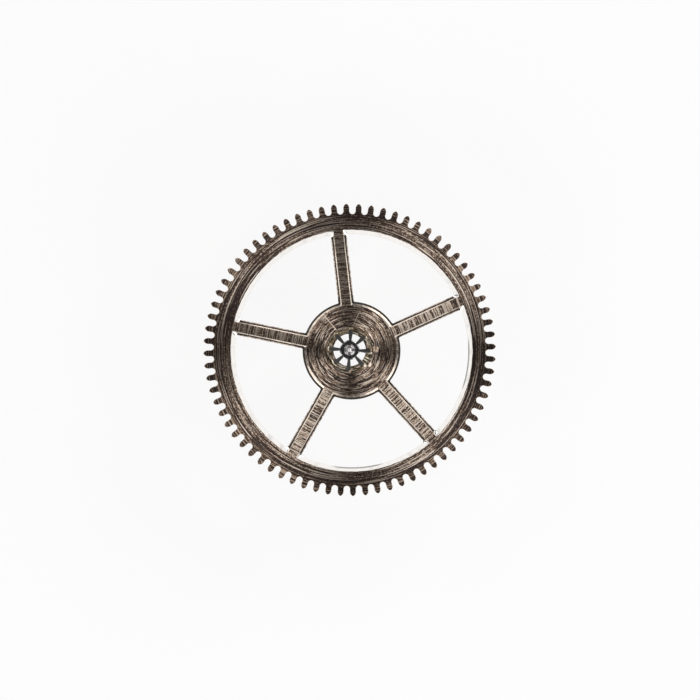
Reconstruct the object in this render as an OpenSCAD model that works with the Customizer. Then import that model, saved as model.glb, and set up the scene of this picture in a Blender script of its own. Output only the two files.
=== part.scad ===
// Seconds wheel of a watch train: a thin toothed wheel with five bevelled spokes,
// riveted on to a pinion that is cut in one piece with its arbor and pivots.
// Millimetres. +Z is up along the arbor, towards the riveted face.
// The origin is on the arbor axis at the lower shoulder, where the lower pivot begins.

/* [Wheel teeth] */
// Number of teeth round the wheel
wheel_teeth = 72; // [60:1:84]
// Diameter of the pitch circle of the wheel
wheel_pitch_d = 8.28; // [7.2:0.02:9.4]
// Thickness of a tooth on the pitch circle, in modules
tooth_thickness = 1.53; // [1.42:0.01:1.58]
// Height of a tooth above the pitch circle, in modules
tooth_addendum = 1.41; // [1.25:0.01:1.5]
// Depth of a tooth gap below the pitch circle, in modules
tooth_dedendum = 1.24; // [1.2:0.01:1.5]
// Angle from +X to the middle of the first tooth, in degrees
tooth_start = 1.35; // [0:0.05:5]

/* [Wheel plate] */
// Thickness of the wheel plate
plate_t = 0.22; // [0.18:0.01:0.28]
// Mean width of the rim, from the bottom of the tooth gaps to the window wall
rim_w = 0.565; // [0.45:0.005:0.65]
// Radius of the hub at its lower edge
hub_r = 1.44; // [1.3:0.005:1.6]
// Number of spokes
spoke_count = 5; // [3:1:6]
// Width of a spoke at its lower edge
spoke_w = 0.46; // [0.38:0.01:0.52]
// Angle from +X to the middle of the first spoke, in degrees
spoke_start = 24.4; // [0:0.1:72]
// Radius of the window corners at the rim
rim_corner_r = 0.07; // [0.04:0.005:0.1]
// Radius of the window corners at the hub
hub_corner_r = 0.035; // [0.02:0.005:0.06]
// How far the windows were punched off the arbor's axis along +X, with the spokes and the hub's edge
crossing_x = 0.056; // [-0.08:0.002:0.08]
// How far they were punched off it along +Y
crossing_y = -0.018; // [-0.08:0.002:0.08]

/* [Window bevels] */
// Width of the bevel along the rim, seen from above
rim_bevel_w = 0.12; // [0.08:0.005:0.14]
// Depth of the rim's bevel below the upper face
rim_bevel_h = 0.09; // [0.07:0.005:0.1]
// Width of the bevel round the hub, seen from above
hub_bevel_w = 0.128; // [0.1:0.002:0.15]
// Depth of the hub's bevel below the upper face
hub_bevel_h = 0.115; // [0.105:0.005:0.13]
// Width of the steep lower part of the hub's bevel
hub_steep_w = 0.06; // [0.04:0.005:0.07]
// Depth of the polished upper part of the hub's bevel
hub_polish_h = 0.028; // [0.02:0.002:0.04]
// Width of the bevel along a spoke, seen from above
spoke_bevel_w = 0.095; // [0.08:0.005:0.12]
// Depth of a spoke's bevel below the upper face
spoke_bevel_h = 0.12; // [0.11:0.005:0.13]
// Width of the steep lower part of a spoke's bevel
spoke_steep_w = 0.065; // [0.04:0.005:0.07]
// Depth of the polished upper part of a spoke's bevel
spoke_polish_h = 0.025; // [0.01:0.001:0.03]

/* [Riveted seat] */
// Radius of the hole that the leaf ends pass through
seat_r = 0.475; // [0.46:0.005:0.5]
// Radius of the seat's countersink at the upper face
sink_r = 0.605; // [0.56:0.005:0.64]
// Depth of the countersink
sink_h = 0.1; // [0.07:0.005:0.13]
// Hairline gap left round the leaf ends in their seat
rivet_gap = 0.002; // [0.001:0.001:0.006]
// Extra width of a leaf end that the riveting spread into the countersink
rivet_spread = 0.01; // [0:0.005:0.04]
// Radius of the fine turned ring on the hub face
ring_r = 0.745; // [0.7:0.005:0.85]
// Width of the fine turned ring
ring_w = 0.036; // [0.02:0.002:0.06]
// Depth of the fine turned ring
ring_h = 0.012; // [0.006:0.002:0.02]

/* [Pinion] */
// Number of pinion leaves
pinion_leaves = 8; // [7:1:10]
// Module of the pinion leaves
pinion_module = 0.122; // [0.116:0.001:0.126]
// Thickness of a leaf on the pitch circle, in modules
leaf_thickness = 1.05; // [0.95:0.01:1.15]
// Height of a leaf above the pitch circle, in modules
leaf_addendum = 0.86; // [0.7:0.01:0.9]
// Depth of the gap between leaves below the pitch circle, in modules
leaf_dedendum = 1.57; // [1.5:0.01:1.65]
// Length of the full leaves below the wheel
leaf_len = 1.1; // [0.8:0.05:1.4]
// Angle from +X to the middle of the first leaf, in degrees
leaf_start = -3.5; // [-20:0.5:20]
// Radius of the hollow turned in the lower face of the leaves
hollow_r = 0.4; // [0.36:0.01:0.44]
// Depth of that hollow
hollow_h = 0.06; // [0.03:0.005:0.1]

/* [Arbor and pivots] */
// Radius of the arbor where it rises out of the riveted face
foot_r = 0.164; // [0.162:0.001:0.185]
// Step from the bottom of the leaf gaps in to the arbor below the leaves
arbor_step = 0.004; // [0.002:0.001:0.02]
// Length of the arbor from the lower shoulder to the leaves
lower_arbor_len = 0.55; // [0.4:0.01:0.7]
// Height of the cone that rises from the lower shoulder
lower_cone_len = 0.12; // [0.08:0.01:0.2]
// Radius of the lower shoulder, which rests on its jewel
lower_shoulder_r = 0.168; // [0.16:0.001:0.169]
// Radius of the upper shoulder, which limits the end shake
upper_shoulder_r = 0.156; // [0.14:0.001:0.16]
// Depth of the polished hollow that the riveting punch left round the arbor's foot
punch_h = 0.04; // [0.02:0.005:0.05]
// Width of the slope from the bottom of the hollow out to its crest
punch_w = 0.012; // [0.006:0.001:0.02]
// Width of the chamfer from the crest out to the bottom of the leaf gaps
crest_w = 0.03; // [0.02:0.002:0.04]
// Height of that chamfer
crest_h = 0.012; // [0.01:0.002:0.024]
// Height of the slightly tapered arbor from the riveted face to the upper shoulder
upper_arbor_len = 0.3; // [0.25:0.01:0.4]
// Radius of the upper pivot
upper_pivot_r = 0.068; // [0.055:0.001:0.08]
// Length of the upper pivot
upper_pivot_len = 0.27; // [0.2:0.01:0.36]
// Radius of the lower pivot
lower_pivot_r = 0.14; // [0.13:0.001:0.15]
// Length of the lower pivot
lower_pivot_len = 0.45; // [0.35:0.01:0.55]
// Radius of the long staff next to the lower pivot
staff_r = 0.131; // [0.126:0.001:0.134]
// Radius of the staff at its lower end, to which it tapers
staff_end_r = 0.118; // [0.114:0.001:0.122]
// Length of the long staff
staff_len = 1.6; // [1.4:0.05:2.2]
// Radius of the seat for the seconds hand
hand_seat_r = 0.105; // [0.1:0.001:0.112]
// Length of the seat for the seconds hand
hand_seat_len = 0.85; // [0.7:0.05:1]

/* [Hidden] */

// Share of a module by which the radial flanks run past the pitch circle
flank_share = 0.3;

// Sizes of the wheel that follow from the ones above
wheel_module = wheel_pitch_d / wheel_teeth;
wheel_pitch_r = wheel_pitch_d / 2;
wheel_tip_r = wheel_pitch_r + tooth_addendum * wheel_module;
wheel_root_r = wheel_pitch_r - tooth_dedendum * wheel_module;
tooth_step = 360 / wheel_teeth;
tooth_half = tooth_thickness / wheel_teeth * 180 / PI;
gap_half = tooth_step / 2 - tooth_half;
flank_top_r = wheel_pitch_r + flank_share * wheel_module;
window_r = wheel_root_r - rim_w;
spoke_half = spoke_w / 2;

// The round bottom of a tooth gap is a touch larger than the gap, so that it meets the flanks cleanly
gap_round = 1.02;
gap_c = wheel_root_r / (1 - gap_round * sin(gap_half));
gap_r = gap_round * gap_c * sin(gap_half);

// Bulge of the rounded tips past the flanks, which lets the two surfaces cross cleanly
tip_bulge = 0.0005;

// Heights of the pieces above the lower shoulder
leaf_z = lower_arbor_len;
plate_z = leaf_z + leaf_len;
face_z = plate_z + plate_t;
upper_shoulder_z = face_z + upper_arbor_len;
staff_z = -lower_pivot_len - staff_len;
hand_seat_z = staff_z - hand_seat_len;

// Lengths by which cutting shapes pass the faces that they cut, and by which joined shapes lap
over = 0.05;
lap = 0.1;

// Heights where the bevels and their polished upper parts begin
rim_bevel_z = plate_t - rim_bevel_h;
hub_bevel_z = plate_t - hub_bevel_h;
hub_polish_z = plate_t - hub_polish_h;
spoke_bevel_z = plate_t - spoke_bevel_h;
spoke_polish_z = plate_t - spoke_polish_h;
rim_over_w = over * rim_bevel_w / rim_bevel_h;

// Flats in a full turn of a window corner, how far their edges reach into the walls beside them,
// and how far the rounded corners end below the bevels
corner_flats = 12;
corner_reach = 0.003;
corner_drop = 0.005;
corner_h = min(rim_bevel_z, hub_bevel_z, spoke_bevel_z) - corner_drop;

// Sizes of the pinion that follow from the ones above
leaf_pitch_r = pinion_leaves * pinion_module / 2;
leaf_tip_r = leaf_pitch_r + leaf_addendum * pinion_module;
leaf_root_r = leaf_pitch_r - leaf_dedendum * pinion_module;
leaf_step = 360 / pinion_leaves;
leaf_half = leaf_thickness / pinion_leaves * 180 / PI;
lower_arbor_r = leaf_root_r - arbor_step;
rivet_sunk = 0.006;
riveted_z = face_z - rivet_sunk;
hollow_min_w = 0.01;
crest_r = max(lower_arbor_r - crest_w, foot_r + punch_w + hollow_min_w);
leaf_end_gap = 0.004;
leaf_end_r = crest_r + leaf_end_gap;
tool_nick = 0.02;
end_round = 0.025;
dome_ratio = 1.06;
rivet_slope = (sink_r - seat_r) / sink_h;

// Radius of an arc that leaves a radial flank at radius r and half angle a, and reaches the tip on the axis
function arc_r(r, a, tip) =
    let (u = tip - r * cos(a), v = r * sin(a)) (u * u + v * v) / (2 * (u * sin(a) + v * cos(a)));

// One tooth along +X, from inside the rim to its ogive tip
module tooth(inner, r, a, tip) {
    arc = arc_r(r, a, tip);
    back = arc - tip_bulge;
    polygon([
        [inner * cos(a), inner * sin(a)],
        [r * cos(a), r * sin(a)],
        [r * cos(a), -r * sin(a)],
        [inner * cos(a), -inner * sin(a)]
    ]);
    intersection() {
        translate([r * cos(a) + back * sin(a), r * sin(a) - back * cos(a)])
            circle(r = arc, $fn = 48);
        translate([r * cos(a) + back * sin(a), back * cos(a) - r * sin(a)])
            circle(r = arc, $fn = 48);
    }
}

// Outline of the toothed disc, without its windows
module toothed_disc() {
    difference() {
        circle(r = gap_c * cos(gap_half), $fn = 288);
        for (i = [0 : wheel_teeth - 1])
            rotate(tooth_start + (i + 0.5) * tooth_step)
                translate([gap_c, 0])
                    circle(r = gap_r, $fn = 40);
    }
    for (i = [0 : wheel_teeth - 1])
        rotate(tooth_start + i * tooth_step)
            tooth(wheel_root_r - lap, flank_top_r, tooth_half, wheel_tip_r);
}

// Fills one window corner beside a spoke that lies along +X, and leaves it round
module corner_fill(centre_r, r, far_r) {
    cy = spoke_half + r;
    cx = sqrt(centre_r * centre_r - cy * cy);
    difference() {
        linear_extrude(height = corner_h)
            polygon([
                [cx, cy],
                [cx, spoke_half / 2],
                [far_r, spoke_half / 2],
                [cx * far_r / centre_r, cy * far_r / centre_r]
            ]);
        translate([cx, cy, -over])
            cylinder(r = r + corner_reach, h = corner_h + 2 * over, $fn = corner_flats);
    }
}

// One spoke along +X, bevelled along both sides, with its four rounded corners
module spoke() {
    inner_r = hub_r - hub_bevel_w - lap;
    outer_r = window_r + rim_bevel_w + lap;
    rotate([90, 0, 90])
        translate([0, 0, inner_r])
            linear_extrude(height = outer_r - inner_r)
                polygon([
                    [-spoke_half, 0],
                    [spoke_half, 0],
                    [spoke_half, spoke_bevel_z],
                    [spoke_half - spoke_steep_w, spoke_polish_z],
                    [spoke_half - spoke_bevel_w, plate_t],
                    [spoke_bevel_w - spoke_half, plate_t],
                    [spoke_steep_w - spoke_half, spoke_polish_z],
                    [-spoke_half, spoke_bevel_z]
                ]);
    for (side = [0, 1])
        mirror([0, side, 0]) {
            corner_fill(window_r - rim_corner_r, rim_corner_r, window_r + lap);
            corner_fill(hub_r + hub_corner_r, hub_corner_r, hub_r - lap);
        }
}

// Toothed rim with the bevelled inner edge
module rim() {
    difference() {
        linear_extrude(height = plate_t)
            toothed_disc();
        translate([crossing_x, crossing_y, 0])
            rotate_extrude($fn = 240)
                polygon([
                    [0, -over],
                    [window_r, -over],
                    [window_r, rim_bevel_z],
                    [window_r + rim_bevel_w, plate_t],
                    [window_r + rim_bevel_w + rim_over_w, plate_t + over],
                    [0, plate_t + over]
                ]);
    }
}

// Round hub with the bevelled outer edge
module hub() {
    rotate_extrude($fn = 144)
        polygon([
            [0, 0],
            [hub_r, 0],
            [hub_r, hub_bevel_z],
            [hub_r - hub_steep_w, hub_polish_z],
            [hub_r - hub_bevel_w, plate_t],
            [0, plate_t]
        ]);
}

// Toothed wheel: rim, spokes and hub in one plate, with the countersunk seat for the leaf ends
module wheel() {
    color([0.42, 0.36, 0.31])
        translate([0, 0, plate_z])
            difference() {
                union() {
                    rim();
                    translate([crossing_x, crossing_y, 0]) {
                        hub();
                        for (i = [0 : spoke_count - 1])
                            rotate(spoke_start + i * 360 / spoke_count)
                                spoke();
                    }
                }
                translate([0, 0, -over])
                    cylinder(r = seat_r, h = plate_t + 2 * over, $fn = 72);
                translate([0, 0, plate_t - sink_h])
                    cylinder(r1 = seat_r, r2 = sink_r + rivet_slope * over, h = sink_h + over, $fn = 72);
                rotate_extrude($fn = 96)
                    polygon([
                        [ring_r - ring_w / 2, plate_t],
                        [ring_r, plate_t - ring_h],
                        [ring_r + ring_w / 2, plate_t],
                        [ring_r, plate_t + ring_h]
                    ]);
            }
}

// Outline of the full leaves with their root circle
module leaves() {
    circle(r = leaf_root_r, $fn = 64);
    for (i = [0 : pinion_leaves - 1])
        rotate(leaf_start + i * leaf_step)
            tooth(leaf_root_r - lap, leaf_pitch_r, leaf_half, leaf_tip_r);
}

// Outline of the leaf ends above the shoulder, spread towards the outside by the riveting
module spread_leaves() {
    outer_r = sink_r + lap;
    flank = tan(leaf_half);
    outer_half = seat_r * flank + rivet_spread;
    for (i = [0 : pinion_leaves - 1])
        rotate(leaf_start + i * leaf_step)
            polygon([
                [leaf_end_r, -leaf_end_r * flank],
                [seat_r, -seat_r * flank],
                [outer_r, -outer_half],
                [outer_r, outer_half],
                [seat_r, seat_r * flank],
                [leaf_end_r, leaf_end_r * flank]
            ]);
}

// Leaf ends that pass through the seat and are riveted out into the countersink
module riveted_ends() {
    turned_r = seat_r - rivet_gap;
    top_z = plate_t - rivet_sunk;
    sink_z = plate_t - sink_h;
    intersection() {
        translate([0, 0, -over])
            linear_extrude(height = plate_t + 2 * over)
                spread_leaves();
        rotate_extrude($fn = 72)
            polygon([
                [0, -over],
                [turned_r - tool_nick, -over],
                [turned_r - tool_nick, 0],
                [turned_r, 0],
                [turned_r, sink_z],
                [turned_r + rivet_slope * (top_z - sink_z), top_z],
                [0, top_z]
            ]);
    }
}

// Everything turned: hand seat, staff, lower pivot, both shoulders, and the core with its hollow and crest
module turned_arbor() {
    rotate_extrude($fn = 64)
        polygon([
            [0, hand_seat_z],
            [hand_seat_r - end_round, hand_seat_z],
            [hand_seat_r, hand_seat_z + 2 * end_round],
            [hand_seat_r, staff_z],
            [staff_end_r, staff_z + end_round],
            [staff_r, -lower_pivot_len - end_round],
            [lower_pivot_r, -lower_pivot_len],
            [lower_pivot_r, 0],
            [lower_shoulder_r, 0],
            [lower_arbor_r, lower_cone_len],
            [lower_arbor_r, riveted_z - crest_h],
            [crest_r, riveted_z],
            [crest_r - punch_w, riveted_z - punch_h],
            [foot_r, riveted_z - punch_h],
            [upper_shoulder_r, upper_shoulder_z],
            [0, upper_shoulder_z]
        ]);
}

// Upper pivot with its domed end
module upper_pivot() {
    dome_r = upper_pivot_r * dome_ratio;
    tip_z = upper_shoulder_z + upper_pivot_len;
    dome_z = tip_z - dome_r + sqrt(dome_r * dome_r - upper_pivot_r * upper_pivot_r);
    translate([0, 0, upper_shoulder_z - over])
        cylinder(r = upper_pivot_r, h = dome_z - upper_shoulder_z + over, $fn = 48);
    intersection() {
        translate([0, 0, tip_z - dome_r])
            sphere(r = dome_r, $fn = 48);
        translate([0, 0, dome_z - tool_nick])
            cylinder(r = upper_pivot_r, h = dome_r, $fn = 48);
    }
}

// Pinion, arbor and pivots, cut from one bar
module pinion() {
    color([0.56, 0.57, 0.58])
        difference() {
            union() {
                turned_arbor();
                upper_pivot();
                translate([0, 0, leaf_z])
                    linear_extrude(height = leaf_len)
                        leaves();
                translate([0, 0, plate_z])
                    riveted_ends();
            }
            rotate_extrude($fn = 64)
                polygon([
                    [lower_arbor_r, leaf_z - over],
                    [hollow_r + over, leaf_z - over],
                    [hollow_r, leaf_z],
                    [lower_arbor_r, leaf_z + hollow_h]
                ]);
        }
}

wheel();
pinion();
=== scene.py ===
"""Looks of a watch seconds wheel: fine meshes, metal finishes, pale floor, four softboxes and camera."""
import math

import bmesh
import bpy
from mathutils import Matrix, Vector, noise
from mathutils.geometry import tessellate_polygon


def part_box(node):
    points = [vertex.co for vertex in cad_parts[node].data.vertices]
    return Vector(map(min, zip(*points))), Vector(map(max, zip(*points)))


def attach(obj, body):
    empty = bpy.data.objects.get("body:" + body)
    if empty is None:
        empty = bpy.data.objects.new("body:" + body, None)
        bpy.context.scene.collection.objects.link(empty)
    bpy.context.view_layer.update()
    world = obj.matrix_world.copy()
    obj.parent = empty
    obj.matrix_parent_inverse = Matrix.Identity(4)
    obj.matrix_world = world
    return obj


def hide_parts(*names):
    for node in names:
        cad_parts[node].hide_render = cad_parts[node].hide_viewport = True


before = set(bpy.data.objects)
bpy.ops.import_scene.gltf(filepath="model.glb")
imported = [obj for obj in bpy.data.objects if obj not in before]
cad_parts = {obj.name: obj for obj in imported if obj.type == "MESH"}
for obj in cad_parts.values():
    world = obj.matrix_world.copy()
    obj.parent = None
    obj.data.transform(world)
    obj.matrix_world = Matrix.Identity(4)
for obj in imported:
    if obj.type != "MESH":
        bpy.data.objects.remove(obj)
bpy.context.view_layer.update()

# Lengths below are in millimetres, and meshes are made in metres
MM = 0.001
wheel_low, wheel_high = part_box("wheel")
pinion_low, pinion_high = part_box("pinion")
PLATE_Z = wheel_low.z / MM
FACE_Z = wheel_high.z / MM
PLATE_T = FACE_Z - PLATE_Z
STAFF_END_Z = pinion_low.z / MM
PIVOT_TIP_Z = pinion_high.z / MM

# Wheel teeth
TEETH = 72
PITCH_R = 4.14
TOOTH_THICKNESS = 1.53
TOOTH_ADDENDUM = 1.41
TOOTH_DEDENDUM = 1.24
TOOTH_START = math.radians(1.35)
MODULE = 2 * PITCH_R / TEETH
TIP_R = PITCH_R + TOOTH_ADDENDUM * MODULE
ROOT_R = PITCH_R - TOOTH_DEDENDUM * MODULE
FLANK_TOP_R = PITCH_R + 0.3 * MODULE
TOOTH_CHAMFER = 0.007

# Wheel plate and its windows
RIM_W = 0.565
WINDOW_R = ROOT_R - RIM_W
HUB_R = 1.44
SPOKES = 5
SPOKE_HALF = 0.23
SPOKE_START = math.radians(24.4)
CROSSING = (0.056, -0.018)
RIM_CORNER_R = 0.07
HUB_CORNER_R = 0.035
RIM_BEVEL_W = 0.12
RIM_BEVEL_H = 0.09
RIM_STEEP_W = 0.004
RIM_POLISH_H = 0.087
HUB_BEVEL_W = 0.116
HUB_BEVEL_H = 0.115
HUB_STEEP_W = 0.06
HUB_POLISH_H = 0.024
SPOKE_BEVEL_W = 0.095
SPOKE_BEVEL_H = 0.12
SPOKE_STEEP_W = 0.065
SPOKE_POLISH_H = 0.025
TOP_CORNER_R = 0.03
LEDGE_W = 0.028
LEDGE_MIN_W = 0.002
LEDGE_SHARE = 0.5
BEVEL_BLEND = 0.12
BEVEL_WOBBLE = 0.004
BEVEL_WAVES = 6.0
BEVEL_WAVE_W = 0.12

# Painted shade: a dark line along the lower edge of the rim's bevel, on two stretches: middles and half
# widths in degrees
SHADE_LINE_PLACES = ((-7, 13), (274, 13))
SHADE_LINE_FADE = 4
SHADE_LINE_TONE = 0.3
SHADE_LINE_W = 0.045

# Riveted seat
SEAT_R = 0.475
SINK_R = 0.605
SINK_H = 0.1
SINK_SLOPE = (SINK_R - SEAT_R) / SINK_H
STAKED_R = 0.685
SEAT_RINGS = 18
RIDGES = 29
RIDGE_H = 0.011
MARKS_TURN = math.radians(-22)
MARKS_SPACING = 0.11
MARKS_FADE = (0.82, 0.92)
SEAT_TONE = 0.85
RIDGE_PLACES = ((-24, 26), (24, 14), (-100, 16), (215, 14))
LIP_R = 0.632
LIP_W = 0.02
LIP_H = 0.02
LIP_TURN = math.radians(6)
RIVET_GAP = 0.002
RIVET_SUNK = 0.006
RIVET_SPREAD = 0.002
RING_R = 0.745
RING_HALF = 0.018
RING_H = 0.012

# Pinion
LEAVES = 8
LEAF_MODULE = 0.122
LEAF_HALF = 1.05 / LEAVES
LEAF_PITCH_R = LEAVES * LEAF_MODULE / 2
LEAF_TIP_R = LEAF_PITCH_R + 0.86 * LEAF_MODULE
LEAF_ROOT_R = LEAF_PITCH_R - 1.57 * LEAF_MODULE
LEAF_Z = PLATE_Z - 1.1
LEAF_START = math.radians(-3.5)
LEAF_CHAMFER = 0.006
HOLLOW_R = 0.4
HOLLOW_H = 0.06

# Arbor and pivots
FOOT_R = 0.164
LOWER_ARBOR_R = LEAF_ROOT_R - 0.004
LOWER_CONE_LEN = 0.12
LOWER_SHOULDER_R = 0.168
UPPER_SHOULDER_R = 0.156
CREST_R = LOWER_ARBOR_R - 0.03
CREST_H = 0.012
PUNCH_R = CREST_R - 0.012
PUNCH_H = 0.04
UPPER_SHOULDER_Z = FACE_Z + 0.3
UPPER_PIVOT_R = 0.068
DOME_R = 1.06 * UPPER_PIVOT_R
LOWER_PIVOT_R = 0.14
LOWER_PIVOT_LEN = 0.45
STAFF_R = 0.131
STAFF_END_R = 0.118
HAND_SEAT_R = 0.105
HAND_SEAT_LEN = 0.85
END_ROUND = 0.025
EDGE_ROUND = 0.006

# Fineness of the meshes
ARC_STEPS = 8
WINDOW_STEPS = 96
TURNED_STEPS = 288
SHARP_ANGLE = math.radians(22)

# Scratches across the hub's face
SCRATCHES = (
    ((-0.744, 1.013), (-0.253, 0.414)),
    ((0.261, 1.075), (0.114, 0.731)),
)
SCRATCH_W = 0.04

# A small raised spot beside the leaf ends, its height in parts of the face's relief
RUB_PLACE = (0.765, 0.024)
RUB_R = 0.1
RUB_TONES = (0.4, 0.8)
RUB_H = 16.0

# The grain: how much of it lies in long rings and not in short marks, its range, and its turn
LINE_SHARE = 0.5
GRAIN_RANGE = (0.2, 1.04)
GRAIN_ROTATION = 0.25

# Thin bright arcs over the grain
CUT_SPACING = 0.03
CUT_LEN = 0.35
CUT_RANGE = (0.6, 0.66)

# Distances from the arbor between which the face's grain grows darker, with the powers of its tone
RIM_DULLING = (3.3, 3.7)
GRAIN_POWERS = (1.2, 2.0)
TEETH_TONE = 0.6

# The spokes: their marks across, and how much lighter the grain is between these
CROSS_W = 0.048
CROSS_LEN = 0.7
CROSS_LOW = 0.35
SPOKE_GAIN = 2.6
SPOKE_LIFT = 0.05

# Finishes, as places in a piece's list of materials
FACE, BEVEL, BRIGHT, SHADED_WALL, FLANK, SEAT, EDGE, LEDGE = range(8)
TURNED, BURNISHED, LEAF, CREST, SHOULDER, TIP = range(6)


def spread(first, last, steps):
    """Evenly spaced values from first to last, both included."""
    return [first + (last - first) * i / steps for i in range(steps + 1)]


def arc(centre, radius, first, last, steps):
    """Points along a circular arc, its angles in radians."""
    return [
        (centre[0] + radius * math.cos(t), centre[1] + radius * math.sin(t))
        for t in spread(first, last, steps)
    ]


def circle(radius, steps=TURNED_STEPS):
    """A closed circle round the arbor."""
    return arc((0, 0), radius, 0, 2 * math.pi, steps)[:-1]


def turned(points, angle):
    """The points turned about the arbor."""
    c, s = math.cos(angle), math.sin(angle)
    return [(c * x - s * y, s * x + c * y) for x, y in points]


def moved(points, offset):
    """The points moved by an offset."""
    return [(x + offset[0], y + offset[1]) for x, y in points]


def mirrored(points):
    """The points on the other side of the X axis."""
    return [(x, -y) for x, y in points]


def shifted(outline, distance):
    """A closed anticlockwise outline moved outwards, by one distance or by a function of place and side."""
    result = []
    for i, (x, y) in enumerate(outline):
        ahead = outline[(i + 1) % len(outline)]
        before = (Vector((x, y)) - Vector(outline[i - 1])).normalized()
        after = (Vector(ahead) - Vector((x, y))).normalized()
        out = Vector((before.y + after.y, -before.x - after.x))
        reach = distance(x, y, -out.normalized()) if callable(distance) else distance
        scale = reach / (1 + before.dot(after))
        result.append((x + out.x * scale, y + out.y * scale))
    return result


def by_place(radius, rim, spoke, hub):
    """A value that goes from the hub's through the spokes' to the rim's."""
    outer = min(max((radius - WINDOW_R) / BEVEL_BLEND + 1, 0), 1)
    inner = min(max((HUB_R - radius) / BEVEL_BLEND + 1, 0), 1)
    return spoke + (rim - spoke) * outer + (hub - spoke) * inner


def uneven(x, y):
    """A point of the bevel's upper edge, with the slight waves of hand work."""
    scale = 1 + BEVEL_WOBBLE * noise.noise(Vector((x, y, 0)) * BEVEL_WAVES)
    return x * scale, y * scale


def tooth_side(flank_r, half, tip_r):
    """The rounded side of a tooth along +X, from the top of its radial flank to its tip."""
    rise = tip_r - flank_r * math.cos(half)
    reach = flank_r * math.sin(half)
    radius = (rise**2 + reach**2) / (2 * (rise * math.sin(half) + reach * math.cos(half)))
    x = flank_r * math.cos(half) + radius * math.sin(half)
    y = reach - radius * math.cos(half)
    return arc((x, y), radius, math.pi / 2 + half, math.atan2(-y, tip_r - x), ARC_STEPS)


def wheel_outline():
    """The toothed outline: round gap bottoms, radial flanks and ogive tips."""
    step = 2 * math.pi / TEETH
    half = TOOTH_THICKNESS / TEETH
    gap_half = step / 2 - half
    gap_c = ROOT_R / (1 - math.sin(gap_half))
    gap_r = gap_c * math.sin(gap_half)
    gap = arc((gap_c, 0), gap_r, -math.pi, -math.pi / 2 - gap_half, ARC_STEPS)
    side = turned(gap, step / 2) + tooth_side(FLANK_TOP_R, half, TIP_R)
    period = mirrored(side) + side[::-1][1:-1]
    outline = []
    for i in range(TEETH):
        outline += turned(period, TOOTH_START + i * step)
    return outline


def window_outline(
    index, rim_w=0.0, spoke_w=0.0, hub_w=0.0, rim_corner=RIM_CORNER_R, hub_corner=HUB_CORNER_R
):
    """One window between two spokes, anticlockwise, widened into the rim, the spokes and the hub."""
    rim_r = WINDOW_R + rim_w
    hub_r = HUB_R - hub_w
    half = SPOKE_HALF - spoke_w
    rim_c = rim_r - rim_corner
    rim_y = half + rim_corner
    rim_turn = math.asin(rim_y / rim_c)
    rim_x = rim_c * math.cos(rim_turn)
    hub_c = hub_r + hub_corner
    hub_y = half + hub_corner
    hub_turn = math.asin(hub_y / hub_c)
    hub_x = hub_c * math.cos(hub_turn)
    between = 2 * math.pi / SPOKES
    quarter = math.pi / 2
    first = arc((hub_x, hub_y), hub_corner, math.pi + hub_turn, 3 * quarter, ARC_STEPS)
    side = [(x, half) for x in spread(hub_x, rim_x, ARC_STEPS)[1:-1]]
    last = arc((rim_x, rim_y), rim_corner, -quarter, rim_turn, ARC_STEPS)
    near = first + side + last
    far = turned(mirrored(near)[::-1], between)
    rim = arc((0, 0), rim_r, rim_turn, between - rim_turn, WINDOW_STEPS)[1:-1]
    hub = arc((0, 0), hub_r, between - hub_turn, hub_turn, WINDOW_STEPS)[1:-1]
    return turned(near + rim + far + hub, SPOKE_START + index * between)


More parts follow.
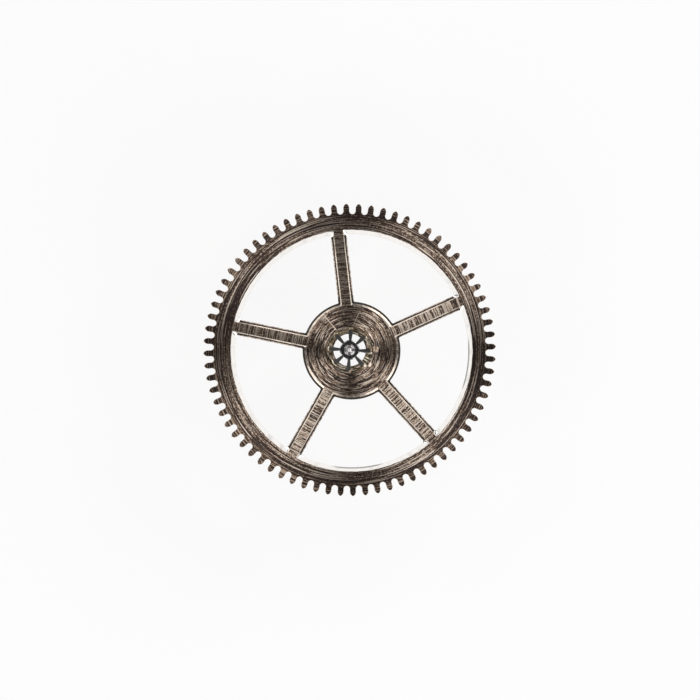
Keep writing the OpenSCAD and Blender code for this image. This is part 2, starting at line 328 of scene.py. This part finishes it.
class Shell:
    """Corners and faces of one piece, with the finish of each face."""

    def __init__(self):
        self.points = []
        self.faces = []
        self.finishes = []

    def ring(self, outline, z):
        """Adds the outline at one height, or at one for each corner, and gives back their places."""
        first = len(self.points)
        heights = z if isinstance(z, list) else [z] * len(outline)
        self.points += [(x, y, up) for (x, y), up in zip(outline, heights)]
        return list(range(first, len(self.points)))

    def face(self, corners, finish):
        """Adds one face."""
        self.faces.append(corners)
        self.finishes.append(finish)

    def wall(self, low, high, finish):
        """Joins two rings of as many corners. The finish is one for all or a list."""
        for i in range(len(low)):
            chosen = finish[i] if isinstance(finish, list) else finish
            self.face([low[i - 1], low[i], high[i], high[i - 1]], chosen)

    def walls(self, rings, finishes):
        """Joins rings one after the other."""
        for low, high, finish in zip(rings, rings[1:], finishes):
            self.wall(low, high, finish)

    def flat(self, rings, finish):
        """Fills between an outer ring and the rings inside it."""
        corners = [i for ring in rings for i in ring]
        loops = [[Vector(self.points[i]) for i in ring] for ring in rings]
        for triangle in tessellate_polygon(loops):
            self.face([corners[i] for i in triangle], finish)

    def lathe(self, profile):
        """Turns a profile of radius, height and the finish that follows, from the bottom up."""
        rings = [self.ring(circle(max(r, EDGE_ROUND / 10)), z) for r, z, _ in profile]
        self.walls(rings, [finish for _, _, finish in profile])
        self.face(rings[0], profile[0][2])
        self.face(rings[-1], profile[-1][2])

    def leaf(self, sections, angle, sides, ends):
        """Adds a leaf through sections of x, half width and height, turned about the arbor."""
        pairs = []
        for section in sections:
            half = [(x, y) for x, y, _ in section]
            heights = [z for _, _, z in section]
            first = len(self.points)
            for outline in (half, mirrored(half)):
                places = turned(outline, angle)
                self.points += [(x, y, z) for (x, y), z in zip(places, heights)]
            count = len(section)
            pairs.append(([first + i for i in range(count)], [first + count + i for i in range(count)]))
        for (left, right), (left_up, right_up) in zip(pairs, pairs[1:]):
            for i in range(len(left) - 1):
                self.face([left[i], left[i + 1], left_up[i + 1], left_up[i]], sides)
                self.face([right[i + 1], right[i], right_up[i], right_up[i + 1]], sides)
            self.face([left[0], left_up[0], right_up[0], right[0]], sides)
        for left, right in (pairs[0], pairs[-1]):
            for i in range(len(left) - 1):
                self.face([left[i], right[i], right[i + 1], left[i + 1]], ends)

    def piece(self, name, materials):
        """Makes the mesh, which stands for the node of that name."""
        mesh = bpy.data.meshes.new(name)
        mesh.from_pydata([Vector(p) * MM for p in self.points], [], self.faces)
        for material in materials:
            mesh.materials.append(material)
        mesh.polygons.foreach_set("material_index", self.finishes)
        work = bmesh.new()
        work.from_mesh(mesh)
        bmesh.ops.remove_doubles(work, verts=work.verts, dist=1e-8)
        bmesh.ops.recalc_face_normals(work, faces=work.faces)
        work.to_mesh(mesh)
        work.free()
        mesh.shade_smooth()
        mesh.set_sharp_from_angle(angle=SHARP_ANGLE)
        made = bpy.data.objects.new(name + "_fine", mesh)
        bpy.context.scene.collection.objects.link(made)
        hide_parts(name)
        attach(made, "root")
        return made


def eased(profile):
    """The profile with a small round at each corner."""
    result = [profile[0]]
    for before, corner, after in zip(profile, profile[1:], profile[2:]):
        here = Vector(corner[:2])
        back = Vector(before[:2]) - here
        on = Vector(after[:2]) - here
        start = here + back.normalized() * min(EDGE_ROUND, 0.4 * back.length)
        end = here + on.normalized() * min(EDGE_ROUND, 0.4 * on.length)
        middle = (start + end + 2 * here) / 4
        result += [(start.x, start.y, before[2]), (middle.x, middle.y, corner[2]), (end.x, end.y, corner[2])]
    return result + [profile[-1]]


def turn_between(first, second):
    """The turn from one direction to another, from -pi to pi."""
    return (second - first + math.pi) % (2 * math.pi) - math.pi


def seat_ring(shell, radius):
    """A circle of the countersink or of the face round it, with what the riveting punch left there."""
    depth = max(SINK_R - radius, 0) / SINK_SLOPE
    fade = math.sin(math.pi * (radius - SEAT_R) / (STAKED_R - SEAT_R))
    lip = LIP_H * math.exp(-(((radius - LIP_R) / LIP_W) ** 2))
    points = circle(radius)
    heights = []
    for i, (x, y) in enumerate(points):
        turn = 2 * math.pi * i / len(points)
        ridge = sum(
            max(1 - abs(turn_between(math.radians(middle), turn)) / math.radians(width), 0)
            for middle, width in RIDGE_PLACES
        )
        wave = math.cos(RIDGES * turn + 3 * noise.noise(Vector((x, y, 0)) * 4.0))
        lift = RIDGE_H * fade * min(ridge, 1) * wave
        off = turn_between(LEAF_START, turn) / (2 * math.pi / LEAVES)
        beside = (off - round(off)) * (2 * math.pi / LEAVES) / LIP_TURN
        pushed = lip * math.exp(-(beside**2))
        heights.append(FACE_Z - depth + min(lift, depth / 2) + pushed)
    return shell.ring(points, heights)


def build_wheel(materials):
    """Toothed rim, five bevelled spokes and the hub with its countersunk seat, in one plate."""
    shell = Shell()
    outline = wheel_outline()
    inset = shifted(outline, -TOOTH_CHAMFER)
    rim = [
        shell.ring(inset, PLATE_Z),
        shell.ring(outline, PLATE_Z + TOOTH_CHAMFER),
        shell.ring(outline, FACE_Z - TOOTH_CHAMFER),
        shell.ring(inset, FACE_Z),
    ]
    shell.walls(rim, [FLANK, FLANK, BEVEL])
    bottoms, tops = [rim[0]], [rim[-1]]
    for i in range(SPOKES):
        window = window_outline(i)
        edge = window_outline(i, RIM_STEEP_W, SPOKE_STEEP_W, HUB_STEEP_W)
        top = window_outline(i, RIM_BEVEL_W, SPOKE_BEVEL_W, HUB_BEVEL_W, TOP_CORNER_R, TOP_CORNER_R)
        radii = [math.hypot(x, y) for x, y in window]
        steep_z = [FACE_Z - by_place(r, RIM_BEVEL_H, SPOKE_BEVEL_H, HUB_BEVEL_H) for r in radii]
        polish_z = [FACE_Z - by_place(r, RIM_POLISH_H, SPOKE_POLISH_H, HUB_POLISH_H) for r in radii]
        ledge, ledge_z = [], []
        for (x, y), (edge_x, edge_y), low, high in zip(window, edge, steep_z, polish_z):
            width = by_place(math.hypot(x, y), LEDGE_MIN_W, LEDGE_W, LEDGE_MIN_W)
            share = min(width / math.hypot(edge_x - x, edge_y - y), LEDGE_SHARE)
            ledge.append((x + (edge_x - x) * share, y + (edge_y - y) * share))
            ledge_z.append(low + (high - low) * share)
        top = [uneven(x, y) for x, y in top]
        rings = [
            shell.ring(moved(window, CROSSING), PLATE_Z),
            shell.ring(moved(window, CROSSING), steep_z),
            shell.ring(moved(ledge, CROSSING), ledge_z),
            shell.ring(moved(edge, CROSSING), polish_z),
            shell.ring(moved(top, CROSSING), FACE_Z),
        ]
        at_rim = [r > WINDOW_R - RIM_CORNER_R / 2 for r in radii]
        at_hub = [r < HUB_R + HUB_CORNER_R / 2 for r in radii]
        worn = [BRIGHT if rim else LEDGE for rim in at_rim]
        # Painted shade: the steep walls of the spokes and hub take the nearly black wall finish, for their
        # dark outline
        steep = [BRIGHT if rim else SHADED_WALL for rim in at_rim]
        shallow = [BRIGHT if rim else EDGE if hub else BEVEL for rim, hub in zip(at_rim, at_hub)]
        shell.walls(rings, [SHADED_WALL, worn, steep, shallow])
        bottoms.append(rings[0])
        tops.append(rings[-1])
    centre = [
        shell.ring(circle(RING_R + RING_HALF), FACE_Z),
        shell.ring(circle(RING_R), FACE_Z - RING_H),
        shell.ring(circle(RING_R - RING_HALF), FACE_Z),
    ]
    centre += [seat_ring(shell, radius) for radius in spread(STAKED_R, SEAT_R, SEAT_RINGS)]
    centre.append(shell.ring(circle(SEAT_R), PLATE_Z))
    shell.walls(centre, [FACE] * 3 + [SEAT] * (SEAT_RINGS + 1))
    shell.flat(tops + [centre[0]], FACE)
    shell.flat(bottoms + [centre[-1]], FACE)
    return shell.piece("wheel", materials)


def leaf_section(z, inset=0.0, hollow=0.0):
    """A full leaf's half outline at a height, with the hollow turned in its lower face where asked."""
    flank = math.tan(LEAF_HALF)
    inner = LEAF_ROOT_R - 0.05
    outer = LEAF_PITCH_R * math.cos(LEAF_HALF)
    half = [(x, x * flank) for x in (inner, LOWER_ARBOR_R, HOLLOW_R, (HOLLOW_R + outer) / 2)]
    half += tooth_side(LEAF_PITCH_R, LEAF_HALF, LEAF_TIP_R)
    section = []
    for x, y in half:
        depth = (HOLLOW_R - math.hypot(x, y)) / (HOLLOW_R - LOWER_ARBOR_R)
        lift = hollow * min(max(depth, 0), 1)
        narrow = min(1, (LEAF_TIP_R - x) / (4 * LEAF_CHAMFER))
        section.append((x - inset * (1 - narrow), max(y - inset * narrow, 0), z + lift))
    return section


def rivet_section(z, radius, inset=0.0):
    """The half outline of a leaf end in the seat, cut round at a radius and spread by the riveting."""
    flank = math.tan(LEAF_HALF)
    beyond = max(radius - SEAT_R, 0) / (SINK_R + 0.1 - SEAT_R)
    half_width = min(radius, SEAT_R) * flank + beyond * RIVET_SPREAD
    section = [(x, max(x * flank - inset, 0), z) for x in (CREST_R, LEAF_ROOT_R, 0.8 * SEAT_R)]
    for share in spread(1, 0, ARC_STEPS):
        y = half_width * share
        section.append((math.sqrt(radius**2 - y**2), max(y - inset, 0), z))
    return section


def build_pinion(materials):
    """Leaves, riveted leaf ends, arbor, shoulders, pivots, staff and hand seat, cut from one bar."""
    shell = Shell()
    top_z = FACE_Z - RIVET_SUNK
    sink_z = FACE_Z - SINK_H
    turned_r = SEAT_R - RIVET_GAP
    spread_r = turned_r + SINK_SLOPE * (top_z - sink_z)
    for i in range(LEAVES):
        angle = LEAF_START + i * 2 * math.pi / LEAVES
        full = [
            leaf_section(LEAF_Z, LEAF_CHAMFER, HOLLOW_H),
            leaf_section(LEAF_Z + LEAF_CHAMFER, 0, HOLLOW_H),
            leaf_section(PLATE_Z - LEAF_CHAMFER),
            leaf_section(PLATE_Z, LEAF_CHAMFER / 2),
        ]
        shell.leaf(full, angle, BURNISHED, LEAF)
        end = [
            rivet_section(PLATE_Z - LEAF_CHAMFER, turned_r),
            rivet_section(sink_z, turned_r),
            rivet_section(top_z - LEAF_CHAMFER, spread_r - LEAF_CHAMFER * SINK_SLOPE),
            rivet_section(top_z, spread_r - LEAF_CHAMFER, LEAF_CHAMFER),
        ]
        shell.leaf(end, angle, LEAF, LEAF)
    staff_z = STAFF_END_Z + HAND_SEAT_LEN
    dome_start = math.acos(UPPER_PIVOT_R / DOME_R)
    dome = arc((0, PIVOT_TIP_Z - DOME_R), DOME_R, dome_start, math.pi / 2, ARC_STEPS)
    profile = [
        (0, STAFF_END_Z, TURNED),
        (HAND_SEAT_R - END_ROUND, STAFF_END_Z, BURNISHED),
        (HAND_SEAT_R, STAFF_END_Z + 2 * END_ROUND, BURNISHED),
        (HAND_SEAT_R, staff_z, TURNED),
        (STAFF_END_R, staff_z + END_ROUND, TURNED),
        (STAFF_R, -LOWER_PIVOT_LEN - END_ROUND, TURNED),
        (LOWER_PIVOT_R, -LOWER_PIVOT_LEN, BURNISHED),
        (LOWER_PIVOT_R, 0, BURNISHED),
        (LOWER_SHOULDER_R, 0, TURNED),
        (LOWER_ARBOR_R, LOWER_CONE_LEN, TURNED),
        (LOWER_ARBOR_R, LEAF_Z + HOLLOW_H, TURNED),
        (LEAF_ROOT_R, LEAF_Z + HOLLOW_H, BURNISHED),
        (LEAF_ROOT_R, PLATE_Z, TURNED),
        (LOWER_ARBOR_R, PLATE_Z, TURNED),
        (LOWER_ARBOR_R, top_z - CREST_H, CREST),
        (CREST_R, top_z, CREST),
        (PUNCH_R, top_z - PUNCH_H, BURNISHED),
        (FOOT_R, top_z - PUNCH_H, BURNISHED),
        (UPPER_SHOULDER_R, UPPER_SHOULDER_Z, SHOULDER),
        (UPPER_PIVOT_R, UPPER_SHOULDER_Z, BURNISHED),
    ]
    profile += [(r, z, TIP) for r, z in dome]
    shell.lathe(eased(profile))
    return shell.piece("pinion", materials)


def add(tree, kind, inputs=(), **settings):
    """A new node. Each input is named or counted, and is a value or another node's output."""
    made = tree.nodes.new(kind)
    for setting, value in settings.items():
        setattr(made, setting, value)
    named = inputs if isinstance(inputs, dict) else dict(enumerate(inputs))
    for key, value in named.items():
        if isinstance(value, bpy.types.NodeSocket):
            tree.links.new(value, made.inputs[key])
        else:
            made.inputs[key].default_value = value
    return made


def sums(tree, operation, *values):
    """The result of a Math node."""
    return add(tree, "ShaderNodeMath", values, operation=operation).outputs[0]


def ranged(tree, value, low, high, first=0.0, last=1.0):
    """The value taken from one range to another and kept within it."""
    return add(tree, "ShaderNodeMapRange", [value, low, high, first, last]).outputs[0]


def place(tree):
    """Distance from the arbor, direction round it and height, all in millimetres but the direction."""
    spot = add(tree, "ShaderNodeTexCoord").outputs["Object"]
    flat = add(tree, "ShaderNodeVectorMath", [spot, (1 / MM, 1 / MM, 0)], operation="MULTIPLY")
    radius = add(tree, "ShaderNodeVectorMath", [flat.outputs[0]], operation="LENGTH").outputs["Value"]
    turn = add(tree, "ShaderNodeVectorMath", [flat.outputs[0]], operation="NORMALIZE").outputs[0]
    height = sums(tree, "DIVIDE", add(tree, "ShaderNodeSeparateXYZ", [spot]).outputs["Z"], MM)
    return flat.outputs[0], radius, turn, height


def distance(tree, spot, point):
    """Distance of a spot from a point of the plane."""
    return add(tree, "ShaderNodeVectorMath", [spot, (*point, 0)], operation="DISTANCE").outputs["Value"]


def facing(tree, turn, angle):
    """The cosine of the angle between the direction round the arbor and a given one."""
    way = (math.cos(angle), math.sin(angle), 0)
    return add(tree, "ShaderNodeVectorMath", [turn, way], operation="DOT_PRODUCT").outputs["Value"]


def streaks(tree, along, across, spacing, length, detail=2.0, seed=0.0):
    """Noise in streaks round the arbor, as long as asked, in millimetres of a spot or radians of a turn."""
    long_way = add(tree, "ShaderNodeVectorMath", [along, (1 / length, 1 / length, 0)], operation="MULTIPLY")
    scaled = sums(tree, "MULTIPLY_ADD", across, 1 / spacing, seed)
    short_way = add(tree, "ShaderNodeCombineXYZ", [0, 0, scaled])
    both = add(tree, "ShaderNodeVectorMath", [long_way.outputs[0], short_way.outputs[0]], operation="ADD")
    inputs = {"Vector": both.outputs[0], "Scale": 1.0, "Detail": detail, "Roughness": 0.6}
    return add(tree, "ShaderNodeTexNoise", inputs).outputs[0]


def specks(tree, spot, spacing, detail=3.0):
    """Plain noise, by the spacing of its patches in millimetres."""
    inputs = {"Vector": spot, "Scale": 1 / spacing, "Detail": detail, "Roughness": 0.6}
    return add(tree, "ShaderNodeTexNoise", inputs).outputs[0]


def scratch(tree, spot, start, end, width):
    """1 along a straight scratch between two points and 0 off it."""
    along = Vector(end) - Vector(start)
    offset = add(tree, "ShaderNodeVectorMath", [spot, (*start, 0)], operation="SUBTRACT").outputs[0]
    run = add(tree, "ShaderNodeVectorMath", [offset, (*along.normalized(), 0)], operation="DOT_PRODUCT")
    side = Vector((-along.y, along.x)).normalized()
    off = add(tree, "ShaderNodeVectorMath", [offset, (*side, 0)], operation="DOT_PRODUCT")
    near = ranged(tree, sums(tree, "ABSOLUTE", off.outputs["Value"]), width / 4, width / 2, 1.0, 0.0)
    middle = sums(tree, "SUBTRACT", run.outputs["Value"], along.length / 2)
    inside = sums(tree, "LESS_THAN", sums(tree, "ABSOLUTE", middle), along.length / 2)
    return sums(tree, "MULTIPLY", near, inside)


def metal(name, tones, roughness, pattern, relief, anisotropic=0.0):
    """A bare metal. The pattern, from 0 to 1, varies its tone and roughness. Its height gives the relief."""
    material = bpy.data.materials.new(name)
    material.use_nodes = True
    tree = material.node_tree
    shader = tree.nodes["Principled BSDF"]
    tone, height = pattern(tree)
    shades = add(tree, "ShaderNodeValToRGB", [tone])
    ramp = shades.color_ramp
    for i in range(1, len(tones) - 1):
        ramp.elements.new(i / (len(tones) - 1))
    for step, colour in zip(ramp.elements, tones):
        step.color = (*colour, 1)
    tree.links.new(shades.outputs["Color"], shader.inputs["Base Color"])
    tree.links.new(ranged(tree, tone, 0, 1, *roughness), shader.inputs["Roughness"])
    bump = add(tree, "ShaderNodeBump", {"Height": height, "Distance": relief * MM, "Strength": 1.0})
    tree.links.new(bump.outputs[0], shader.inputs["Normal"])
    shader.inputs["Metallic"].default_value = 1.0
    if anisotropic:
        shader.inputs["Anisotropic"].default_value = anisotropic
        shader.inputs["Anisotropic Rotation"].default_value = GRAIN_ROTATION
        tangent = add(tree, "ShaderNodeTangent", direction_type="RADIAL", axis="Z")
        tree.links.new(tangent.outputs[0], shader.inputs["Tangent"])
    return material


def grain(tree, spot, radius, turn):
    """Circular grain: thin bright arcs over rings, short marks and specks, with its height."""
    rings = streaks(tree, turn, radius, 0.036, 0.9, detail=0.0, seed=40.0)
    short = streaks(tree, spot, radius, 0.034, 0.07, detail=0.0)
    grit = specks(tree, spot, 0.036, detail=0.0)
    height = sums(tree, "ADD", streaks(tree, turn, radius, 0.05, 0.6, seed=20.0), rings)
    marks = ranged(tree, short, 0.43, 0.59)
    fine = sums(tree, "MULTIPLY", marks, ranged(tree, grit, 0.38, 0.56, 0.1, 1.0))
    lines = ranged(tree, rings, 0.47, 0.57, 0.0, LINE_SHARE)
    both = sums(tree, "MULTIPLY_ADD", fine, 1 - LINE_SHARE, lines)
    cuts = streaks(tree, turn, radius, CUT_SPACING, CUT_LEN, detail=0.0, seed=90.0)
    cuts = ranged(tree, cuts, *CUT_RANGE)
    return sums(tree, "MAXIMUM", ranged(tree, both, *GRAIN_RANGE), cuts), height


def face_pattern(tree):
    """The grain of the wheel's faces, duller on the teeth, with two scratches and a raised spot."""
    spot, radius, turn, _ = place(tree)
    tone, height = grain(tree, spot, radius, turn)
    tone = sums(tree, "POWER", tone, ranged(tree, radius, *RIM_DULLING, *GRAIN_POWERS))
    past_hub = ranged(tree, radius, HUB_R - BEVEL_BLEND, HUB_R + BEVEL_BLEND)
    before_rim = ranged(tree, radius, WINDOW_R - BEVEL_BLEND, WINDOW_R + BEVEL_BLEND, 1.0, 0.0)
    on_spoke = sums(tree, "MULTIPLY", past_hub, before_rim)
    cross = streaks(tree, turn, radius, CROSS_W, CROSS_LEN, detail=0.0, seed=73.4)
    cross = ranged(tree, cross, 0.43, 0.58, CROSS_LOW, 1.0)
    gain = ranged(tree, on_spoke, 0, 1, 1.0, sums(tree, "MULTIPLY", cross, SPOKE_GAIN))
    lift = sums(tree, "MULTIPLY", on_spoke, SPOKE_LIFT)
    tone = sums(tree, "MULTIPLY_ADD", tone, gain, lift)
    tone = sums(tree, "MULTIPLY", tone, ranged(tree, radius, ROOT_R - MODULE, ROOT_R, 1.0, TEETH_TONE))
    for start, end in SCRATCHES:
        tone = sums(tree, "MAXIMUM", tone, scratch(tree, spot, start, end, SCRATCH_W))
    off = distance(tree, spot, RUB_PLACE)
    inside = ranged(tree, off, 0.8 * RUB_R, RUB_R, 1.0, 0.0)
    rubbed = ranged(tree, specks(tree, spot, 0.05, detail=0.0), 0.35, 0.6, *RUB_TONES)
    blend = add(tree, "ShaderNodeMix", [inside, (0, 0, 0)], data_type="FLOAT")
    tree.links.new(tone, blend.inputs["A"])
    tree.links.new(rubbed, blend.inputs["B"])
    height = sums(tree, "ADD", height, ranged(tree, off, 0, RUB_R, RUB_H, 0.0))
    return blend.outputs[0], height


def bevel_pattern(tree):
    """A cut and polished bevel with slight waves."""
    spot, _, _, _ = place(tree)
    wave = specks(tree, spot, BEVEL_WAVE_W, detail=2.0)
    return ranged(tree, wave, 0.3, 0.7), wave


def rim_bevel_pattern(tree):
    """The rim's bright bevel, with a painted shade line along two stretches of its lower edge."""
    spot, _, turn, _ = place(tree)
    wave = specks(tree, spot, BEVEL_WAVE_W, detail=2.0)
    tone = ranged(tree, wave, 0.3, 0.7, 0.96, 1.0)
    off = distance(tree, spot, CROSSING)
    # Painted shade: a dark line along the bevel's lower edge, where the window's wall meets it
    low = ranged(tree, off, WINDOW_R + SHADE_LINE_W / 2, WINDOW_R + SHADE_LINE_W, 1.0, 0.0)
    for middle, width in SHADE_LINE_PLACES:
        fades = (math.cos(math.radians(width)), math.cos(math.radians(width - SHADE_LINE_FADE)))
        there = ranged(tree, facing(tree, turn, math.radians(middle)), *fades)
        there = sums(tree, "MULTIPLY", low, there)
        tone = sums(tree, "MULTIPLY", tone, ranged(tree, there, 0, 1, 1.0, SHADE_LINE_TONE))
    return tone, wave


def wall_pattern(tree):
    """A punched wall or a cut flank, with grit."""
    spot, _, _, _ = place(tree)
    grit = specks(tree, spot, 0.04)
    return ranged(tree, grit, 0.3, 0.7), grit


def ledge_pattern(tree):
    """The worn lower edge of a spoke's bevel, pale and dark by turns."""
    spot, _, _, _ = place(tree)
    worn = specks(tree, spot, 0.09)
    return ranged(tree, worn, 0.36, 0.6), worn


def seat_pattern(tree):
    """Staked brass round the leaf ends: raised lips beyond them with a painted highlight on their tops, and
    the punch's radial marks on one side.
    """
    spot, radius, turn, _ = place(tree)
    tone, height = grain(tree, spot, radius, turn)
    marked = ranged(tree, facing(tree, turn, MARKS_TURN), *MARKS_FADE)
    marks = ranged(tree, specks(tree, turn, MARKS_SPACING, detail=0.0), 0.5, 0.58)
    tone = sums(tree, "MULTIPLY", tone, ranged(tree, marked, 0, 1, SEAT_TONE, SEAT_TONE / 2))
    tone = sums(tree, "MAXIMUM", tone, sums(tree, "MULTIPLY", marks, marked))
    return sums(tree, "MAXIMUM", tone, lip_highlights(tree, radius, turn)), height


def lip_highlights(tree, radius, turn):
    """A painted highlight on the tops of the lips that the riveting raised beyond the leaf ends."""
    axes = add(tree, "ShaderNodeSeparateXYZ", [turn])
    angle = sums(tree, "ARCTAN2", axes.outputs["Y"], axes.outputs["X"])
    wave = sums(tree, "COSINE", sums(tree, "MULTIPLY_ADD", angle, LEAVES, -LEAVES * LEAF_START))
    off = sums(tree, "ABSOLUTE", sums(tree, "SUBTRACT", radius, LIP_R))
    top = sums(tree, "MULTIPLY", ranged(tree, off, LIP_W / 2, LIP_W, 1.0, 0.0), ranged(tree, wave, 0.55, 0.8))
    return sums(tree, "MULTIPLY", top, ranged(tree, specks(tree, turn, 0.5, detail=0.0), 0.4, 0.55))


def turned_pattern(tree):
    """Fine turning marks round the arbor, on its walls and on its shoulders."""
    _, radius, turn, height = place(tree)
    across = sums(tree, "ADD", radius, height)
    fine = streaks(tree, turn, across, 0.018, 1.5)
    return ranged(tree, fine, 0.3, 0.7), fine


def mottled_pattern(tree):
    """A shoulder that has run against its jewel, with bright and dark specks."""
    spot, _, _, _ = place(tree)
    grit = specks(tree, spot, 0.045, detail=0.0)
    return ranged(tree, grit, 0.4, 0.58), grit


def steel_pattern(tree):
    """Polished steel with a faint mottle."""
    spot, _, turn, height = place(tree)
    soft = streaks(tree, turn, height, 0.09, 0.3)
    return ranged(tree, soft, 0.3, 0.7), soft


def wheel_materials():
    """Finishes of the wheel, in the order of their places."""
    return [
        metal(
            "grained_face",
            ((0.06, 0.045, 0.042), (0.43, 0.305, 0.217), (1.0, 0.85, 0.72)),
            (0.56, 0.31),
            face_pattern,
            0.005,
            anisotropic=0.94,
        ),
        metal(
            "polished_bevel",
            ((0.7, 0.57, 0.46), (0.95, 0.86, 0.76)),
            (0.16, 0.22),
            bevel_pattern,
            0.002,
        ),
        metal(
            "bright_bevel",
            ((0.1, 0.1, 0.09), (0.96, 0.925, 0.89)),
            (0.2, 0.1),
            rim_bevel_pattern,
            0.0004,
        ),
        # Nearly black: painted shade on the windows' walls, standing for the dark outline along the hub and
        # spokes
        metal(
            "shade_painted_wall",
            ((0.015, 0.012, 0.01), (0.055, 0.044, 0.035)),
            (0.5, 0.4),
            wall_pattern,
            0.002,
        ),
        metal(
            "cut_flank",
            ((0.2, 0.155, 0.13), (0.4, 0.32, 0.26)),
            (0.42, 0.3),
            wall_pattern,
            0.002,
        ),
        metal(
            "staked_seat",
            ((0.055, 0.042, 0.029), (0.42, 0.32, 0.2), (1.0, 0.9, 0.76)),
            (0.4, 0.3),
            seat_pattern,
            0.006,
        ),
        metal(
            "cut_edge",
            ((0.3, 0.24, 0.195), (0.64, 0.56, 0.48)),
            (0.22, 0.3),
            bevel_pattern,
            0.002,
        ),
        metal(
            "worn_ledge",
            ((0.12, 0.09, 0.07), (0.8, 0.66, 0.56)),
            (0.45, 0.35),
            ledge_pattern,
            0.002,
        ),
    ]


def pinion_materials():
    """Finishes of the pinion, in the order of their places."""
    return [
        metal(
            "turned_steel",
            ((0.2, 0.195, 0.2), (0.5, 0.49, 0.49)),
            (0.34, 0.24),
            turned_pattern,
            0.0005,
        ),
        metal(
            "burnished_steel",
            ((0.27, 0.27, 0.28), (0.42, 0.41, 0.42)),
            (0.12, 0.2),
            steel_pattern,
            0.0004,
        ),
        metal(
            "riveted_steel",
            ((0.12, 0.12, 0.12), (0.48, 0.47, 0.45)),
            (0.34, 0.26),
            steel_pattern,
            0.001,
        ),
        metal(
            "polished_steel",
            ((0.5, 0.49, 0.49), (0.62, 0.61, 0.61)),
            (0.16, 0.22),
            turned_pattern,
            0.0004,
        ),
        metal(
            "run_steel",
            ((0.3, 0.28, 0.28), (1.0, 0.95, 0.94)),
            (0.4, 0.34),
            mottled_pattern,
            0.001,
            anisotropic=0.9,
        ),
        metal(
            "pivot_tip",
            ((0.6, 0.59, 0.59), (0.78, 0.77, 0.77)),
            (0.06, 0.1),
            steel_pattern,
            0.0002,
        ),
    ]


# Camera: straight above, from far away through a long lens
CAMERA_HEIGHT = 250.0
FRAME_W = 20.57
CAMERA_X = 0.011
SENSOR_W = 36.0

# Light: four softboxes round the wheel at its diagonals, and a studio that is darker overhead
BOX_LEVELS = {45: 1.0, 135: 0.56, 225: 0.88, 315: 1.1}
BOX_ELEVATION = math.radians(45)
BOX_DISTANCE = 80.0
BOX_W = 52.0
BOX_H = 38.0
BOX_RADIANCE = 3.4
ZENITH = 0.07
HORIZON = 1.0
HORIZON_SINE = 0.3
ZENITH_SINE = 0.55

# Floor
FLOOR_W = 6000.0
FLOOR_TONE = 0.95
FLOOR_WHITE = 1.0
FLOOR_GAP = 0.002
FLOOR_GLOW = 0.75


def build_floor():
    """A pale floor under the staff, which shows white and keeps a soft shadow."""
    half = FLOOR_W / 2 * MM
    z = (STAFF_END_Z - FLOOR_GAP) * MM
    mesh = bpy.data.meshes.new("floor")
    corners = [(-half, -half, z), (half, -half, z), (half, half, z), (-half, half, z)]
    mesh.from_pydata(corners, [], [(0, 1, 2, 3)])
    material = bpy.data.materials.new("pale_floor")
    material.use_nodes = True
    tree = material.node_tree
    tree.nodes.clear()
    rays = add(tree, "ShaderNodeLightPath")
    seen = sums(tree, "MAXIMUM", rays.outputs["Is Camera Ray"], rays.outputs["Is Glossy Ray"])
    seen = sums(tree, "MAXIMUM", seen, rays.outputs["Is Transmission Ray"])
    glow = sums(tree, "MULTIPLY", seen, FLOOR_GLOW)
    matt = add(tree, "ShaderNodeBsdfDiffuse", {"Color": (FLOOR_TONE, FLOOR_TONE, FLOOR_TONE, 1)})
    white = add(tree, "ShaderNodeEmission", {"Color": (*[FLOOR_WHITE] * 3, 1), "Strength": 1.0})
    both = add(tree, "ShaderNodeMixShader", [glow, matt.outputs[0], white.outputs[0]])
    add(tree, "ShaderNodeOutputMaterial", [both.outputs[0]])
    mesh.materials.append(material)
    floor = bpy.data.objects.new("floor", mesh)
    bpy.context.scene.collection.objects.link(floor)


def build_lights():
    """The softboxes and the studio round them."""
    target = Vector((0, 0, FACE_Z * MM))
    for azimuth, share in BOX_LEVELS.items():
        a = math.radians(azimuth)
        level = math.cos(BOX_ELEVATION)
        way = Vector((level * math.cos(a), level * math.sin(a), math.sin(BOX_ELEVATION)))
        light = bpy.data.lights.new(f"softbox_{azimuth}", "AREA")
        light.shape = "RECTANGLE"
        light.size = BOX_W * MM
        light.size_y = BOX_H * MM
        light.energy = share * BOX_RADIANCE * math.pi * light.size * light.size_y
        lamp = bpy.data.objects.new(light.name, light)
        lamp.location = target + way * BOX_DISTANCE * MM
        lamp.rotation_euler = way.to_track_quat("Z", "Y").to_euler()
        lamp.visible_camera = False
        bpy.context.scene.collection.objects.link(lamp)
    world = bpy.data.worlds.new("studio")
    world.use_nodes = True
    tree = world.node_tree
    way = add(tree, "ShaderNodeTexCoord").outputs["Generated"]
    height = add(tree, "ShaderNodeSeparateXYZ", [way]).outputs["Z"]
    level = ranged(tree, height, HORIZON_SINE, ZENITH_SINE, HORIZON, ZENITH)
    backdrop = tree.nodes["Background"]
    backdrop.inputs["Color"].default_value = (1, 1, 1, 1)
    tree.links.new(level, backdrop.inputs["Strength"])
    bpy.context.scene.world = world


def build_camera():
    """The photograph's view, straight down the arbor."""
    data = bpy.data.cameras.new("camera")
    data.sensor_width = SENSOR_W
    data.lens = SENSOR_W * CAMERA_HEIGHT / FRAME_W
    data.clip_start = 0.001
    data.clip_end = 20.0
    camera = bpy.data.objects.new("camera", data)
    camera.location = Vector((CAMERA_X, 0, FACE_Z + CAMERA_HEIGHT)) * MM
    bpy.context.scene.collection.objects.link(camera)
    bpy.context.scene.camera = camera


build_wheel(wheel_materials())
build_pinion(pinion_materials())
build_floor()
build_lights()
build_camera()
bpy.context.scene.view_settings.view_transform = "Standard"
